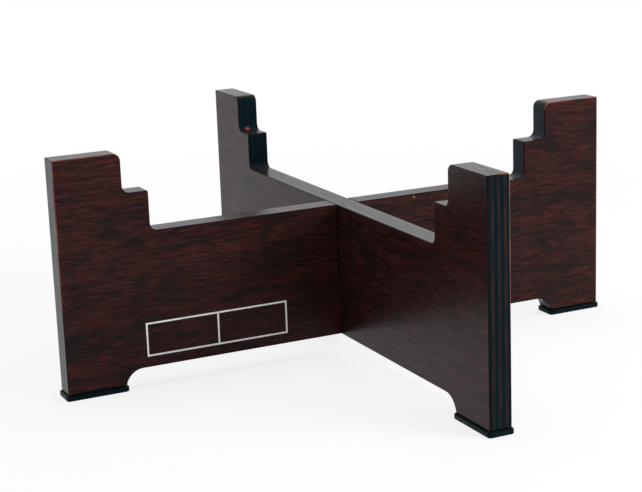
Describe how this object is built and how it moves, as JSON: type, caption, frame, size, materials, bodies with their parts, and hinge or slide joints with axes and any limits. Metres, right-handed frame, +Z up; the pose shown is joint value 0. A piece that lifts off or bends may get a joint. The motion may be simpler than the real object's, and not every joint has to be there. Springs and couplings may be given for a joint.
{
  "type": "dundun stand",
  "caption": "Knock-down cross stand for an upright bass drum: stepped stained plywood boards halved together, with arched undersides and rubber feet.",
  "frame": {"origin": "on the floor, under the middle of the cross", "axes": "+Z up; the lower board, slotted from above, lies along X; the upper board, slotted from below, lies along Y; -Y is the end shown nearest in the picture"},
  "size_m": [0.5336, 0.5336, 0.205],
  "materials": {
    "stained_plywood": "dark mahogany stain under satin lacquer, plies showing at the cut edges",
    "black_rubber": "matt"
  },
  "bodies": {
    "lower_frame": {"lower_board": "stained_plywood", "lower_board_left_pad": "black_rubber", "lower_board_right_pad": "black_rubber"},
    "upper_frame": {"upper_board": "stained_plywood", "upper_board_front_pad": "black_rubber", "upper_board_back_pad": "black_rubber"}
  },
  "joints": [
    {"name": "upper_board_lift", "type": "slide", "parent": "lower_frame", "child": "upper_frame", "axis": [0, 0, 1], "range_m": [0, 0.1187]}
  ]
}
